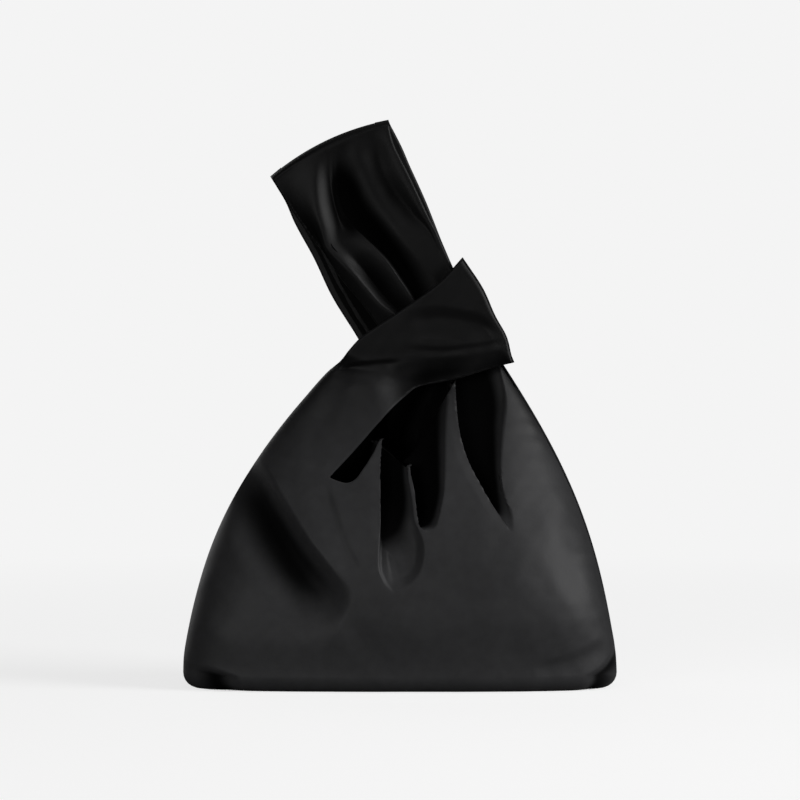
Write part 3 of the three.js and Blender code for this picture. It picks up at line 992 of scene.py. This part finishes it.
# %% Shader arithmetic
class Wire:
    """A value in a material. Arithmetic on it adds Math nodes to the same tree."""

    def __init__(self, tree, socket):
        self.tree = tree
        self.socket = socket

    def node(self, kind, inputs, output=0, **settings):
        """Adds a node of that kind, fills its inputs from wires and constants, and returns one output."""
        made = self.tree.nodes.new(kind)
        for setting, value in settings.items():
            setattr(made, setting, value)
        for place, value in inputs.items():
            if isinstance(value, Wire):
                self.tree.links.new(value.socket, made.inputs[place])
            else:
                made.inputs[place].default_value = value
        return Wire(self.tree, made.outputs[output])

    def math(self, operation, first, second=0.0):
        return self.node("ShaderNodeMath", {0: first, 1: second}, operation=operation)

    def __add__(self, other):
        return self.math("ADD", self, other)

    def __radd__(self, other):
        return self.math("ADD", other, self)

    def __mul__(self, other):
        return self.math("MULTIPLY", self, other)

    def __rmul__(self, other):
        return self.math("MULTIPLY", other, self)

    def sine(self):
        return self.math("SINE", self)

    def feed(self, socket):
        self.tree.links.new(self.socket, socket)


def new_material(name):
    """A material with a Principled shader, and a wire that starts its arithmetic."""
    material = bpy.data.materials.new(name)
    material.use_nodes = True
    shader = material.node_tree.nodes["Principled BSDF"]
    return material, shader, Wire(material.node_tree, None)


# %% Satin
thread_pitch = 0.00045
cloud_scale = 22.0
fleck_scale = 170.0
grain_scale = 700.0
# Painted shade: heights in metres between which the satin's tone is painted darker, down to the loop's share
# on the loop and the strap
shade_ramp_from = 0.135
loop_start = 0.2
loop_shade_share = 0.15

# The satin's tone and roughness, and what the clouds and flecks add to them
satin_tone = 0.032
cloud_tone = 0.018
fleck_tone = 0.014
blue_share = 1.04
satin_rough = 0.42
cloud_rough = 0.10
fleck_rough = 0.05
# The tone of the dead black that stands in for the shade deep in the folds, as painted shade
shade_tone = 0.002

# Heights of the relief in metres
satin_weave = 0.00002
dull_weave = 0.00003
fleck_height = 0.0001
grain_height = 0.00005
relief_strength = 0.6


def weave_height(start):
    """The height of a woven cloth: waves across and along, whose lengths are the UV map's, in metres."""
    over = start.node("ShaderNodeUVMap", {}, uv_map="cloth")
    split = start.node("ShaderNodeSeparateXYZ", {0: over}, 0)
    up = Wire(start.tree, split.socket.node.outputs[1])
    turn = 2 * np.pi / thread_pitch
    return (split * turn).sine() * (up * turn).sine() * 0.5 + 0.5


def noise(start, scale, detail):
    """Soft random clouds on the object's own places, from 0 to 1."""
    places = start.node("ShaderNodeTexCoord", {}, "Object")
    settings = {"Vector": places, "Scale": scale, "Detail": detail, "Roughness": 0.5}
    return start.node("ShaderNodeTexNoise", settings)


def relief(start, height):
    """The normal of a surface that a height in metres raises a little."""
    settings = {"Height": height, "Strength": relief_strength, "Distance": 1.0}
    return start.node("ShaderNodeBump", settings, "Normal")


def satin_material():
    """Nearly black, with a broad highlight whose width drifts. Higher up, on the loop and the strap, the tone
    is painted darker as painted shade, with a straight ramp of the height between. Deep in the folds the
    satin is mixed with a dead black, as painted shade."""
    material, shader, start = new_material("black_satin")
    clouds = noise(start, cloud_scale, 3.0)
    flecks = noise(start, fleck_scale, 2.0)
    height = start.node("ShaderNodeSeparateXYZ", {0: start.node("ShaderNodeTexCoord", {}, "Object")}, 2)
    # Painted shade: the tone is full on the body and painted darker higher up, on the loop and the strap.
    body = start.node("ShaderNodeMapRange", {0: height, 1: shade_ramp_from, 2: loop_start, 3: 1.0, 4: loop_shade_share})
    painted_light = start.node("ShaderNodeAttribute", {}, "Fac", attribute_name="painted_light")
    tone = (clouds * cloud_tone + flecks * fleck_tone + satin_tone) * body
    colour = start.node("ShaderNodeCombineColor", {0: tone, 1: tone, 2: tone * blue_share})
    colour.feed(shader.inputs["Base Color"])
    (clouds * cloud_rough + flecks * fleck_rough + satin_rough).feed(shader.inputs["Roughness"])
    shader.inputs["Specular IOR Level"].default_value = 0.25
    shader.inputs["Sheen Weight"].default_value = 0.02
    shader.inputs["Sheen Roughness"].default_value = 0.4
    shader.inputs["Sheen Tint"].default_value = (1, 1, 1, 1)
    grain = noise(start, grain_scale, 2.0)
    raised = weave_height(start) * satin_weave + flecks * fleck_height + grain * grain_height
    relief(start, raised).feed(shader.inputs["Normal"])
    satin = Wire(start.tree, shader.outputs[0])
    # Painted shade: where the attribute is low, deep in the folds, the satin is mixed with a dead black.
    black = (shade_tone, shade_tone, shade_tone, 1)
    shade_settings = {"Base Color": black, "Roughness": 0.9, "Specular IOR Level": 0.0}
    shade_black = start.node("ShaderNodeBsdfPrincipled", shade_settings)
    mixed = start.node("ShaderNodeMixShader", {0: painted_light, 1: shade_black, 2: satin})
    mixed.feed(start.tree.nodes["Material Output"].inputs["Surface"])
    return material


# %% Lining, felt and board
def plain_cloth(name, tone, roughness):
    """A dull woven cloth with faint flecks."""
    material, shader, start = new_material(name)
    flecks = noise(start, fleck_scale, 2.0)
    value = (flecks * 0.5 + 0.75) * tone
    start.node("ShaderNodeCombineColor", {0: value, 1: value, 2: value}).feed(shader.inputs["Base Color"])
    shader.inputs["Roughness"].default_value = roughness
    shader.inputs["Specular IOR Level"].default_value = 0.15
    raised = weave_height(start) * dull_weave + flecks * fleck_height
    relief(start, raised).feed(shader.inputs["Normal"])
    return material


satin = satin_material()
lining_cloth = plain_cloth("black_lining", 0.005, 0.8)
felt = plain_cloth("grey_felt", 0.03, 0.95)
board_card = plain_cloth("board_card", 0.2, 0.85)
finishes = (
    (satin, [bag_front, bag_back, base_panel, strap_front, strap_back]),
    (lining_cloth, linings + [base_lining]),
    (felt, felts),
    (board_card, [board]),
)
for material, dressed in finishes:
    for piece in dressed:
        piece.data.materials.append(material)

# %% [markdown]
# ## The floor and the light
# The photograph is a white studio with a soft, faint shadow. One large soft lamp stands on the right, a
# weaker one on the left, one above, and one behind on the left that lights the rim. The floor is a real
# surface that takes the shadow. Plain light is added to it for the camera, and takes over with the distance,
# so that it melts into the backdrop.

# %% Floor
white = 0.905
near_glow = 0.75
floor_tone = 0.44
floor_reach = 6

# Distances in metres between which the plain light takes over, and the floor's bounce falls off
melting = (0.3, 1.3)
fading = (0.1, 0.6)
near_bounce = 0.3
far_bounce = 0.03

floor_mesh = bpy.data.meshes.new("floor")
floor_corners = [(floor_reach * x, floor_reach * y, 0) for x, y in ((-1, -1), (1, -1), (1, 1), (-1, 1))]
floor_mesh.from_pydata(floor_corners, [], [(0, 1, 2, 3)])
floor = bpy.data.objects.new("floor", floor_mesh)
bpy.context.scene.collection.objects.link(floor)


def floor_material():
    """A matt white that the camera sees mixed with plain light, which takes over away from the bag."""
    material, shader, start = new_material("studio_white")
    shader.inputs["Base Color"].default_value = (floor_tone, floor_tone, floor_tone, 1)
    shader.inputs["Roughness"].default_value = 0.9
    shader.inputs["Specular IOR Level"].default_value = 0.0
    places = start.node("ShaderNodeTexCoord", {}, "Object")
    distance = start.node("ShaderNodeVectorMath", {0: places}, "Value", operation="LENGTH")
    far = start.node("ShaderNodeMapRange", {0: distance, 1: melting[0], 2: melting[1], 3: 0.0, 4: 1.0})
    camera_ray = start.node("ShaderNodeLightPath", {}, "Is Camera Ray")
    glow = start.node("ShaderNodeEmission", {"Color": (near_glow, near_glow, near_glow, 1), "Strength": 1.0})
    near = start.node("ShaderNodeAddShader", {0: Wire(start.tree, shader.outputs[0]), 1: glow})
    light = start.node("ShaderNodeEmission", {"Color": (white, white, white, 1), "Strength": 1.0})
    seen = start.node("ShaderNodeMixShader", {0: far, 1: near, 2: light})
    falling = {0: distance, 1: fading[0], 2: fading[1], 3: near_bounce, 4: far_bounce}
    tone = start.node("ShaderNodeMapRange", falling)
    grey = start.node("ShaderNodeCombineColor", {0: tone, 1: tone, 2: tone})
    bounce = start.node("ShaderNodeBsdfDiffuse", {"Color": grey})
    mixed = start.node("ShaderNodeMixShader", {0: camera_ray, 1: bounce, 2: seen})
    mixed.feed(start.tree.nodes["Material Output"].inputs["Surface"])
    return material


floor_mesh.materials.append(floor_material())


# %% Lamps
lamp_aim = Vector((0, 0, 0.15))
lamp_distance = 2.2


def lamp(name, azimuth, elevation, size, power):
    """A square soft lamp that points at the bag's middle, from that many degrees right of the camera and that
    many degrees up. Lengths here are in metres, and the power is in watts."""
    data = bpy.data.lights.new(name, "AREA")
    data.energy = power
    data.size = size
    made = bpy.data.objects.new(name, data)
    a = np.radians(azimuth)
    e = np.radians(elevation)
    away = Vector((np.sin(a) * np.cos(e), -np.cos(a) * np.cos(e), np.sin(e)))
    made.location = lamp_aim + away * lamp_distance
    made.rotation_euler = (-away).to_track_quat("-Z", "Y").to_euler()
    bpy.context.scene.collection.objects.link(made)


lamp("key", azimuth=66, elevation=22, size=1.1, power=28)
lamp("fill", azimuth=-30, elevation=4, size=1.0, power=9)
lamp("top", azimuth=10, elevation=76, size=1.4, power=3)
lamp("left_rim", azimuth=-145, elevation=8, size=1.6, power=6)

# %% World
ambient = 0.01
world = bpy.data.worlds.new("world")
bpy.context.scene.world = world
world.use_nodes = True
sky = Wire(world.node_tree, None)
dim = sky.node("ShaderNodeBackground", {"Color": (ambient, ambient, ambient, 1)})
seen = sky.node("ShaderNodeBackground", {"Color": (white, white, white, 1)})
camera_ray = sky.node("ShaderNodeLightPath", {}, "Is Camera Ray")
sky.node("ShaderNodeMixShader", {0: camera_ray, 1: dim, 2: seen}).feed(
    world.node_tree.nodes["World Output"].inputs["Surface"]
)
bpy.context.scene.view_settings.view_transform = "Standard"
